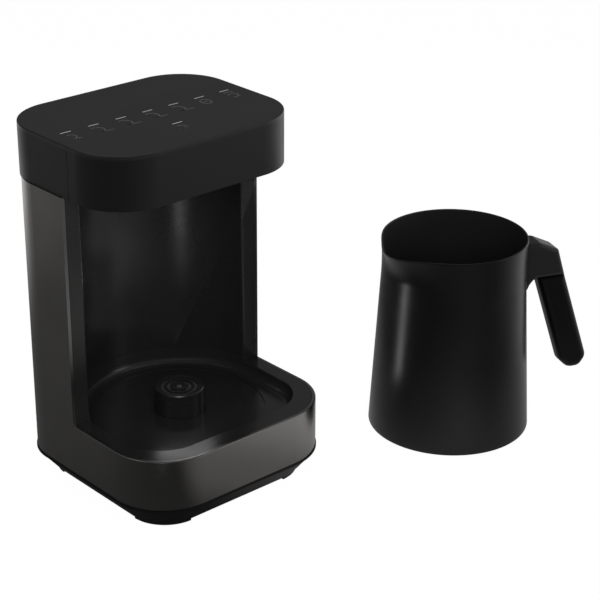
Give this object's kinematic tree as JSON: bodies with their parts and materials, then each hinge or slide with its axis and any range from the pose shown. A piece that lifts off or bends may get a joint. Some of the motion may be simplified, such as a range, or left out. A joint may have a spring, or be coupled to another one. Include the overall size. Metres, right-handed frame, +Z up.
{
  "type": "electric turkish coffee maker",
  "caption": "Countertop coffee brewer: rounded tower with an open chamber under a touch-controlled hood, a round docking coupler on the tray, and a tapered jug with a side handle.",
  "frame": {"origin": "middle of the bottom of the whole set, machine and jug side by side, on the surface they stand on", "axes": "+X from the machine to the jug, +Y to the back of the machine, +Z up"},
  "size_m": [0.3736, 0.2174, 0.2539],
  "materials": {
    "shell_coat": "satin anthracite",
    "hood_coat": "satin near-black",
    "panel_coat": "satin touch surface",
    "gloss_black": "polished black",
    "black_plastic": "matte black",
    "coupler_plastic": "fine matte black",
    "handle_plastic": "satin black",
    "jug_coat": "satin black non-stick coat",
    "contact_metal": "plated contact metal",
    "steel": "plain steel",
    "aluminium": "cast aluminium",
    "rubber": "soft black rubber",
    "circuit_board": "green solder mask",
    "capacitor_case": "moulded case",
    "terminal_plastic": "moulded plastic",
    "wire_cover": "insulation",
    "light_bar": "translucent white light guide",
    "lens": "dark clear window"
  },
  "bodies": {
    "machine": {"outer_shell": "shell_coat", "bottom_pan": "black_plastic", "foot_front_left": "rubber", "foot_front_right": "rubber", "foot_rear_left": "rubber", "foot_rear_right": "rubber", "tray": "gloss_black", "chamber_liner": "gloss_black", "coupler_housing": "coupler_plastic", "contact_ring_outer": "contact_metal", "contact_ring_inner": "contact_metal", "centre_contact": "contact_metal", "clamp_ring": "coupler_plastic", "clamp_screws": "steel", "coupler_leads": "wire_cover", "power_board": "circuit_board", "board_screws": "steel", "relay": "black_plastic", "transformer": "black_plastic", "film_capacitor": "capacitor_case", "terminal_block": "terminal_plastic", "fuse": "lens", "pan_screws": "steel", "cord_gland": "black_plastic", "hood_front": "hood_coat", "hood_rear": "hood_coat", "touch_panel": "panel_coat", "hood_floor": "black_plastic", "hood_screws": "steel", "sensor_lens": "lens", "sensor_board": "circuit_board", "touch_board": "circuit_board", "touch_board_screws": "steel", "light_guides": "light_bar", "touch_springs": "steel", "buzzer": "black_plastic", "wire_harness": "wire_cover"},
    "jug": {"jug_body": "jug_coat", "heater_plate": "aluminium", "heater_element": "steel", "jug_thermostat": "steel", "jug_bottom_cover": "black_plastic", "jug_seal": "rubber", "jug_coupler": "coupler_plastic", "jug_contacts": "contact_metal", "cover_screws": "steel", "handle_strap": "steel", "handle_arm": "handle_plastic", "handle_screw": "steel", "handle_grip": "handle_plastic"}
  },
  "joints": [
    {"name": "jug_lift", "type": "slide", "parent": "machine", "child": "jug", "axis": [0, 0, 1], "range_m": [0, 0.12]}
  ]
}
